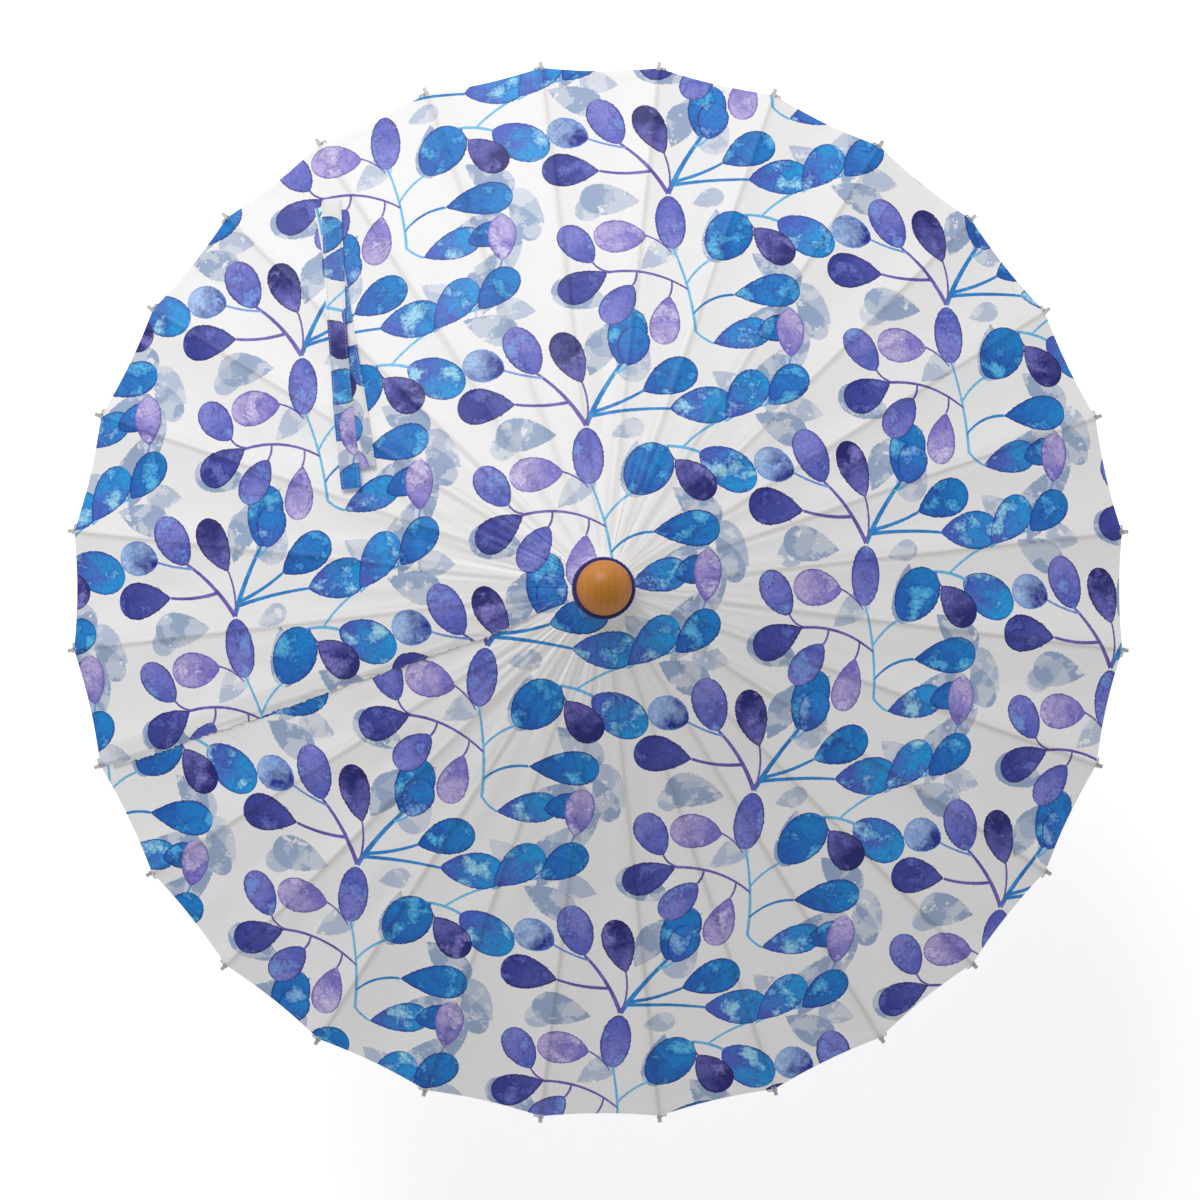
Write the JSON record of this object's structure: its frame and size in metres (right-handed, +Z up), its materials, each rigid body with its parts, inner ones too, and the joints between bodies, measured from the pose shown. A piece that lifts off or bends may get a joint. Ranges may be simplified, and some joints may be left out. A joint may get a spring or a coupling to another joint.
{
  "type": "folding oil paper umbrella",
  "caption": "Folding parasol with a printed cloth canopy on bamboo ribs and stretchers, a turned wooden stick, crown and sliding runner.",
  "frame": {"origin": "centre of the lower end of the handle", "axes": "+Z up the stick from the handle to the crown; the closing strap is on the -X +Y side"},
  "size_m": [0.8222, 0.8222, 0.564],
  "materials": {
    "turned_wood": "smooth waxed",
    "bamboo": "split bamboo, lightly sanded",
    "printed_cloth": "thin woven cloth with a blue leaf print"
  },
  "bodies": {
    "stick": {"shaft": "turned_wood", "crown": "turned_wood", "canopy": "printed_cloth"},
    "runner_body": {"runner": "turned_wood"},
    "rib_body_01": {"rib_01": "bamboo"},
    "stretcher_body_01": {"stretcher_01": "bamboo"},
    "rib_body_02": {"rib_02": "bamboo"},
    "stretcher_body_02": {"stretcher_02": "bamboo"},
    "rib_body_03": {"rib_03": "bamboo"},
    "stretcher_body_03": {"stretcher_03": "bamboo"},
    "rib_body_04": {"rib_04": "bamboo"},
    "stretcher_body_04": {"stretcher_04": "bamboo"},
    "rib_body_05": {"rib_05": "bamboo"},
    "stretcher_body_05": {"stretcher_05": "bamboo"},
    "rib_body_06": {"rib_06": "bamboo"},
    "stretcher_body_06": {"stretcher_06": "bamboo"},
    "rib_body_07": {"rib_07": "bamboo"},
    "stretcher_body_07": {"stretcher_07": "bamboo"},
    "rib_body_08": {"rib_08": "bamboo"},
    "stretcher_body_08": {"stretcher_08": "bamboo"},
    "rib_body_09": {"rib_09": "bamboo"},
    "stretcher_body_09": {"stretcher_09": "bamboo"},
    "rib_body_10": {"rib_10": "bamboo"},
    "stretcher_body_10": {"stretcher_10": "bamboo"},
    "rib_body_11": {"rib_11": "bamboo"},
    "stretcher_body_11": {"stretcher_11": "bamboo"},
    "rib_body_12": {"rib_12": "bamboo"},
    "stretcher_body_12": {"stretcher_12": "bamboo"},
    "rib_body_13": {"rib_13": "bamboo"},
    "stretcher_body_13": {"stretcher_13": "bamboo"},
    "rib_body_14": {"rib_14": "bamboo"},
    "stretcher_body_14": {"stretcher_14": "bamboo"},
    "rib_body_15": {"rib_15": "bamboo"},
    "stretcher_body_15": {"stretcher_15": "bamboo"},
    "rib_body_16": {"rib_16": "bamboo"},
    "stretcher_body_16": {"stretcher_16": "bamboo"},
    "rib_body_17": {"rib_17": "bamboo"},
    "stretcher_body_17": {"stretcher_17": "bamboo"},
    "rib_body_18": {"rib_18": "bamboo"},
    "stretcher_body_18": {"stretcher_18": "bamboo"},
    "rib_body_19": {"rib_19": "bamboo"},
    "stretcher_body_19": {"stretcher_19": "bamboo"},
    "rib_body_20": {"rib_20": "bamboo"},
    "stretcher_body_20": {"stretcher_20": "bamboo"},
    "rib_body_21": {"rib_21": "bamboo"},
    "stretcher_body_21": {"stretcher_21": "bamboo"},
    "rib_body_22": {"rib_22": "bamboo"},
    "stretcher_body_22": {"stretcher_22": "bamboo"},
    "rib_body_23": {"rib_23": "bamboo"},
    "stretcher_body_23": {"stretcher_23": "bamboo"},
    "rib_body_24": {"rib_24": "bamboo"},
    "stretcher_body_24": {"stretcher_24": "bamboo"},
    "rib_body_25": {"rib_25": "bamboo"},
    "stretcher_body_25": {"stretcher_25": "bamboo"},
    "rib_body_26": {"rib_26": "bamboo"},
    "stretcher_body_26": {"stretcher_26": "bamboo"},
    "rib_body_27": {"rib_27": "bamboo"},
    "stretcher_body_27": {"stretcher_27": "bamboo"},
    "rib_body_28": {"rib_28": "bamboo"},
    "stretcher_body_28": {"stretcher_28": "bamboo"}
  },
  "joints": [
    {"name": "open_close", "type": "hinge", "parent": "stick", "child": "rib_body_01", "pos_m": [0.01838, 0.00207, 0.535], "axis": [-0.112, 0.9937, 0], "range_deg": [0, 68], "deforming": ["canopy"]},
    {"name": "stretcher_01_pivot", "type": "hinge", "parent": "rib_body_01", "child": "stretcher_body_01", "pos_m": [0.20047, 0.02259, 0.46831], "axis": [-0.112, 0.9937, 0], "range_deg": [-136, 0]},
    {"name": "runner_pivot", "type": "hinge", "parent": "stretcher_body_01", "child": "runner_body", "pos_m": [0.01838, 0.00207, 0.40161], "axis": [-0.112, 0.9937, 0], "range_deg": [0, 68]},
    {"name": "rib_02_hinge", "type": "hinge", "parent": "stick", "child": "rib_body_02", "pos_m": [0.01746, 0.00611, 0.535], "axis": [-0.3303, 0.9439, 0], "range_deg": [0, 68]},
    {"name": "stretcher_02_pivot", "type": "hinge", "parent": "rib_body_02", "child": "stretcher_body_02", "pos_m": [0.19042, 0.06663, 0.46831], "axis": [-0.3303, 0.9439, 0], "range_deg": [-136, 0]},
    {"name": "rib_03_hinge", "type": "hinge", "parent": "stick", "child": "rib_body_03", "pos_m": [0.01566, 0.00984, 0.535], "axis": [-0.532, 0.8467, 0], "range_deg": [0, 68]},
    {"name": "stretcher_03_pivot", "type": "hinge", "parent": "rib_body_03", "child": "stretcher_body_03", "pos_m": [0.17082, 0.10733, 0.46831], "axis": [-0.532, 0.8467, 0], "range_deg": [-136, 0]},
    {"name": "rib_04_hinge", "type": "hinge", "parent": "stick", "child": "rib_body_04", "pos_m": [0.01308, 0.01308, 0.535], "axis": [-0.7071, 0.7071, 0], "range_deg": [0, 68]},
    {"name": "stretcher_04_pivot", "type": "hinge", "parent": "rib_body_04", "child": "stretcher_body_04", "pos_m": [0.14265, 0.14265, 0.46831], "axis": [-0.7071, 0.7071, 0], "range_deg": [-136, 0]},
    {"name": "rib_05_hinge", "type": "hinge", "parent": "stick", "child": "rib_body_05", "pos_m": [0.00984, 0.01566, 0.535], "axis": [-0.8467, 0.532, 0], "range_deg": [0, 68]},
    {"name": "stretcher_05_pivot", "type": "hinge", "parent": "rib_body_05", "child": "stretcher_body_05", "pos_m": [0.10733, 0.17082, 0.46831], "axis": [-0.8467, 0.532, 0], "range_deg": [-136, 0]},
    {"name": "rib_06_hinge", "type": "hinge", "parent": "stick", "child": "rib_body_06", "pos_m": [0.00611, 0.01746, 0.535], "axis": [-0.9439, 0.3303, 0], "range_deg": [0, 68]},
    {"name": "stretcher_06_pivot", "type": "hinge", "parent": "rib_body_06", "child": "stretcher_body_06", "pos_m": [0.06663, 0.19042, 0.46831], "axis": [-0.9439, 0.3303, 0], "range_deg": [-136, 0]},
    {"name": "rib_07_hinge", "type": "hinge", "parent": "stick", "child": "rib_body_07", "pos_m": [0.00207, 0.01838, 0.535], "axis": [-0.9937, 0.112, 0], "range_deg": [0, 68]},
    {"name": "stretcher_07_pivot", "type": "hinge", "parent": "rib_body_07", "child": "stretcher_body_07", "pos_m": [0.02259, 0.20047, 0.46831], "axis": [-0.9937, 0.112, 0], "range_deg": [-136, 0]},
    {"name": "rib_08_hinge", "type": "hinge", "parent": "stick", "child": "rib_body_08", "pos_m": [-0.00207, 0.01838, 0.535], "axis": [-0.9937, -0.112, 0], "range_deg": [0, 68]},
    {"name": "stretcher_08_pivot", "type": "hinge", "parent": "rib_body_08", "child": "stretcher_body_08", "pos_m": [-0.02259, 0.20047, 0.46831], "axis": [-0.9937, -0.112, 0], "range_deg": [-136, 0]},
    {"name": "rib_09_hinge", "type": "hinge", "parent": "stick", "child": "rib_body_09", "pos_m": [-0.00611, 0.01746, 0.535], "axis": [-0.9439, -0.3303, 0], "range_deg": [0, 68]},
    {"name": "stretcher_09_pivot", "type": "hinge", "parent": "rib_body_09", "child": "stretcher_body_09", "pos_m": [-0.06663, 0.19042, 0.46831], "axis": [-0.9439, -0.3303, 0], "range_deg": [-136, 0]},
    {"name": "rib_10_hinge", "type": "hinge", "parent": "stick", "child": "rib_body_10", "pos_m": [-0.00984, 0.01566, 0.535], "axis": [-0.8467, -0.532, 0], "range_deg": [0, 68]},
    {"name": "stretcher_10_pivot", "type": "hinge", "parent": "rib_body_10", "child": "stretcher_body_10", "pos_m": [-0.10733, 0.17082, 0.46831], "axis": [-0.8467, -0.532, 0], "range_deg": [-136, 0]},
    {"name": "rib_11_hinge", "type": "hinge", "parent": "stick", "child": "rib_body_11", "pos_m": [-0.01308, 0.01308, 0.535], "axis": [-0.7071, -0.7071, 0], "range_deg": [0, 68]},
    {"name": "stretcher_11_pivot", "type": "hinge", "parent": "rib_body_11", "child": "stretcher_body_11", "pos_m": [-0.14265, 0.14265, 0.46831], "axis": [-0.7071, -0.7071, 0], "range_deg": [-136, 0]},
    {"name": "rib_12_hinge", "type": "hinge", "parent": "stick", "child": "rib_body_12", "pos_m": [-0.01566, 0.00984, 0.535], "axis": [-0.532, -0.8467, 0], "range_deg": [0, 68]},
    {"name": "stretcher_12_pivot", "type": "hinge", "parent": "rib_body_12", "child": "stretcher_body_12", "pos_m": [-0.17082, 0.10733, 0.46831], "axis": [-0.532, -0.8467, 0], "range_deg": [-136, 0]},
    {"name": "rib_13_hinge", "type": "hinge", "parent": "stick", "child": "rib_body_13", "pos_m": [-0.01746, 0.00611, 0.535], "axis": [-0.3303, -0.9439, 0], "range_deg": [0, 68]},
    {"name": "stretcher_13_pivot", "type": "hinge", "parent": "rib_body_13", "child": "stretcher_body_13", "pos_m": [-0.19042, 0.06663, 0.46831], "axis": [-0.3303, -0.9439, 0], "range_deg": [-136, 0]},
    {"name": "rib_14_hinge", "type": "hinge", "parent": "stick", "child": "rib_body_14", "pos_m": [-0.01838, 0.00207, 0.535], "axis": [-0.112, -0.9937, 0], "range_deg": [0, 68]},
    {"name": "stretcher_14_pivot", "type": "hinge", "parent": "rib_body_14", "child": "stretcher_body_14", "pos_m": [-0.20047, 0.02259, 0.46831], "axis": [-0.112, -0.9937, 0], "range_deg": [-136, 0]},
    {"name": "rib_15_hinge", "type": "hinge", "parent": "stick", "child": "rib_body_15", "pos_m": [-0.01838, -0.00207, 0.535], "axis": [0.112, -0.9937, 0], "range_deg": [0, 68]},
    {"name": "stretcher_15_pivot", "type": "hinge", "parent": "rib_body_15", "child": "stretcher_body_15", "pos_m": [-0.20047, -0.02259, 0.46831], "axis": [0.112, -0.9937, 0], "range_deg": [-136, 0]},
    {"name": "rib_16_hinge", "type": "hinge", "parent": "stick", "child": "rib_body_16", "pos_m": [-0.01746, -0.00611, 0.535], "axis": [0.3303, -0.9439, 0], "range_deg": [0, 68]},
    {"name": "stretcher_16_pivot", "type": "hinge", "parent": "rib_body_16", "child": "stretcher_body_16", "pos_m": [-0.19042, -0.06663, 0.46831], "axis": [0.3303, -0.9439, 0], "range_deg": [-136, 0]},
    {"name": "rib_17_hinge", "type": "hinge", "parent": "stick", "child": "rib_body_17", "pos_m": [-0.01566, -0.00984, 0.535], "axis": [0.532, -0.8467, 0], "range_deg": [0, 68]},
    {"name": "stretcher_17_pivot", "type": "hinge", "parent": "rib_body_17", "child": "stretcher_body_17", "pos_m": [-0.17082, -0.10733, 0.46831], "axis": [0.532, -0.8467, 0], "range_deg": [-136, 0]},
    {"name": "rib_18_hinge", "type": "hinge", "parent": "stick", "child": "rib_body_18", "pos_m": [-0.01308, -0.01308, 0.535], "axis": [0.7071, -0.7071, 0], "range_deg": [0, 68]},
    {"name": "stretcher_18_pivot", "type": "hinge", "parent": "rib_body_18", "child": "stretcher_body_18", "pos_m": [-0.14265, -0.14265, 0.46831], "axis": [0.7071, -0.7071, 0], "range_deg": [-136, 0]},
    {"name": "rib_19_hinge", "type": "hinge", "parent": "stick", "child": "rib_body_19", "pos_m": [-0.00984, -0.01566, 0.535], "axis": [0.8467, -0.532, 0], "range_deg": [0, 68]},
    {"name": "stretcher_19_pivot", "type": "hinge", "parent": "rib_body_19", "child": "stretcher_body_19", "pos_m": [-0.10733, -0.17082, 0.46831], "axis": [0.8467, -0.532, 0], "range_deg": [-136, 0]},
    {"name": "rib_20_hinge", "type": "hinge", "parent": "stick", "child": "rib_body_20", "pos_m": [-0.00611, -0.01746, 0.535], "axis": [0.9439, -0.3303, 0], "range_deg": [0, 68]},
    {"name": "stretcher_20_pivot", "type": "hinge", "parent": "rib_body_20", "child": "stretcher_body_20", "pos_m": [-0.06663, -0.19042, 0.46831], "axis": [0.9439, -0.3303, 0], "range_deg": [-136, 0]},
    {"name": "rib_21_hinge", "type": "hinge", "parent": "stick", "child": "rib_body_21", "pos_m": [-0.00207, -0.01838, 0.535], "axis": [0.9937, -0.112, 0], "range_deg": [0, 68]},
    {"name": "stretcher_21_pivot", "type": "hinge", "parent": "rib_body_21", "child": "stretcher_body_21", "pos_m": [-0.02259, -0.20047, 0.46831], "axis": [0.9937, -0.112, 0], "range_deg": [-136, 0]},
    {"name": "rib_22_hinge", "type": "hinge", "parent": "stick", "child": "rib_body_22", "pos_m": [0.00207, -0.01838, 0.535], "axis": [0.9937, 0.112, 0], "range_deg": [0, 68]},
    {"name": "stretcher_22_pivot", "type": "hinge", "parent": "rib_body_22", "child": "stretcher_body_22", "pos_m": [0.02259, -0.20047, 0.46831], "axis": [0.9937, 0.112, 0], "range_deg": [-136, 0]},
    {"name": "rib_23_hinge", "type": "hinge", "parent": "stick", "child": "rib_body_23", "pos_m": [0.00611, -0.01746, 0.535], "axis": [0.9439, 0.3303, 0], "range_deg": [0, 68]},
    {"name": "stretcher_23_pivot", "type": "hinge", "parent": "rib_body_23", "child": "stretcher_body_23", "pos_m": [0.06663, -0.19042, 0.46831], "axis": [0.9439, 0.3303, 0], "range_deg": [-136, 0]},
    {"name": "rib_24_hinge", "type": "hinge", "parent": "stick", "child": "rib_body_24", "pos_m": [0.00984, -0.01566, 0.535], "axis": [0.8467, 0.532, 0], "range_deg": [0, 68]},
    {"name": "stretcher_24_pivot", "type": "hinge", "parent": "rib_body_24", "child": "stretcher_body_24", "pos_m": [0.10733, -0.17082, 0.46831], "axis": [0.8467, 0.532, 0], "range_deg": [-136, 0]},
    {"name": "rib_25_hinge", "type": "hinge", "parent": "stick", "child": "rib_body_25", "pos_m": [0.01308, -0.01308, 0.535], "axis": [0.7071, 0.7071, 0], "range_deg": [0, 68]},
    {"name": "stretcher_25_pivot", "type": "hinge", "parent": "rib_body_25", "child": "stretcher_body_25", "pos_m": [0.14265, -0.14265, 0.46831], "axis": [0.7071, 0.7071, 0], "range_deg": [-136, 0]},
    {"name": "rib_26_hinge", "type": "hinge", "parent": "stick", "child": "rib_body_26", "pos_m": [0.01566, -0.00984, 0.535], "axis": [0.532, 0.8467, 0], "range_deg": [0, 68]},
    {"name": "stretcher_26_pivot", "type": "hinge", "parent": "rib_body_26", "child": "stretcher_body_26", "pos_m": [0.17082, -0.10733, 0.46831], "axis": [0.532, 0.8467, 0], "range_deg": [-136, 0]},
    {"name": "rib_27_hinge", "type": "hinge", "parent": "stick", "child": "rib_body_27", "pos_m": [0.01746, -0.00611, 0.535], "axis": [0.3303, 0.9439, 0], "range_deg": [0, 68]},
    {"name": "stretcher_27_pivot", "type": "hinge", "parent": "rib_body_27", "child": "stretcher_body_27", "pos_m": [0.19042, -0.06663, 0.46831], "axis": [0.3303, 0.9439, 0], "range_deg": [-136, 0]},
    {"name": "rib_28_hinge", "type": "hinge", "parent": "stick", "child": "rib_body_28", "pos_m": [0.01838, -0.00207, 0.535], "axis": [0.112, 0.9937, 0], "range_deg": [0, 68]},
    {"name": "stretcher_28_pivot", "type": "hinge", "parent": "rib_body_28", "child": "stretcher_body_28", "pos_m": [0.20047, -0.02259, 0.46831], "axis": [0.112, 0.9937, 0], "range_deg": [-136, 0]}
  ],
  "couplings": [
    {"joint": "stretcher_01_pivot", "follows": "open_close", "ratio": -2},
    {"joint": "runner_pivot", "follows": "open_close", "ratio": 1},
    {"joint": "rib_02_hinge", "follows": "open_close", "ratio": 1},
    {"joint": "stretcher_02_pivot", "follows": "open_close", "ratio": -2},
    {"joint": "rib_03_hinge", "follows": "open_close", "ratio": 1},
    {"joint": "stretcher_03_pivot", "follows": "open_close", "ratio": -2},
    {"joint": "rib_04_hinge", "follows": "open_close", "ratio": 1},
    {"joint": "stretcher_04_pivot", "follows": "open_close", "ratio": -2},
    {"joint": "rib_05_hinge", "follows": "open_close", "ratio": 1},
    {"joint": "stretcher_05_pivot", "follows": "open_close", "ratio": -2},
    {"joint": "rib_06_hinge", "follows": "open_close", "ratio": 1},
    {"joint": "stretcher_06_pivot", "follows": "open_close", "ratio": -2},
    {"joint": "rib_07_hinge", "follows": "open_close", "ratio": 1},
    {"joint": "stretcher_07_pivot", "follows": "open_close", "ratio": -2},
    {"joint": "rib_08_hinge", "follows": "open_close", "ratio": 1},
    {"joint": "stretcher_08_pivot", "follows": "open_close", "ratio": -2},
    {"joint": "rib_09_hinge", "follows": "open_close", "ratio": 1},
    {"joint": "stretcher_09_pivot", "follows": "open_close", "ratio": -2},
    {"joint": "rib_10_hinge", "follows": "open_close", "ratio": 1},
    {"joint": "stretcher_10_pivot", "follows": "open_close", "ratio": -2},
    {"joint": "rib_11_hinge", "follows": "open_close", "ratio": 1},
    {"joint": "stretcher_11_pivot", "follows": "open_close", "ratio": -2},
    {"joint": "rib_12_hinge", "follows": "open_close", "ratio": 1},
    {"joint": "stretcher_12_pivot", "follows": "open_close", "ratio": -2},
    {"joint": "rib_13_hinge", "follows": "open_close", "ratio": 1},
    {"joint": "stretcher_13_pivot", "follows": "open_close", "ratio": -2},
    {"joint": "rib_14_hinge", "follows": "open_close", "ratio": 1},
    {"joint": "stretcher_14_pivot", "follows": "open_close", "ratio": -2},
    {"joint": "rib_15_hinge", "follows": "open_close", "ratio": 1},
    {"joint": "stretcher_15_pivot", "follows": "open_close", "ratio": -2},
    {"joint": "rib_16_hinge", "follows": "open_close", "ratio": 1},
    {"joint": "stretcher_16_pivot", "follows": "open_close", "ratio": -2},
    {"joint": "rib_17_hinge", "follows": "open_close", "ratio": 1},
    {"joint": "stretcher_17_pivot", "follows": "open_close", "ratio": -2},
    {"joint": "rib_18_hinge", "follows": "open_close", "ratio": 1},
    {"joint": "stretcher_18_pivot", "follows": "open_close", "ratio": -2},
    {"joint": "rib_19_hinge", "follows": "open_close", "ratio": 1},
    {"joint": "stretcher_19_pivot", "follows": "open_close", "ratio": -2},
    {"joint": "rib_20_hinge", "follows": "open_close", "ratio": 1},
    {"joint": "stretcher_20_pivot", "follows": "open_close", "ratio": -2},
    {"joint": "rib_21_hinge", "follows": "open_close", "ratio": 1},
    {"joint": "stretcher_21_pivot", "follows": "open_close", "ratio": -2},
    {"joint": "rib_22_hinge", "follows": "open_close", "ratio": 1},
    {"joint": "stretcher_22_pivot", "follows": "open_close", "ratio": -2},
    {"joint": "rib_23_hinge", "follows": "open_close", "ratio": 1},
    {"joint": "stretcher_23_pivot", "follows": "open_close", "ratio": -2},
    {"joint": "rib_24_hinge", "follows": "open_close", "ratio": 1},
    {"joint": "stretcher_24_pivot", "follows": "open_close", "ratio": -2},
    {"joint": "rib_25_hinge", "follows": "open_close", "ratio": 1},
    {"joint": "stretcher_25_pivot", "follows": "open_close", "ratio": -2},
    {"joint": "rib_26_hinge", "follows": "open_close", "ratio": 1},
    {"joint": "stretcher_26_pivot", "follows": "open_close", "ratio": -2},
    {"joint": "rib_27_hinge", "follows": "open_close", "ratio": 1},
    {"joint": "stretcher_27_pivot", "follows": "open_close", "ratio": -2},
    {"joint": "rib_28_hinge", "follows": "open_close", "ratio": 1},
    {"joint": "stretcher_28_pivot", "follows": "open_close", "ratio": -2}
  ]
}
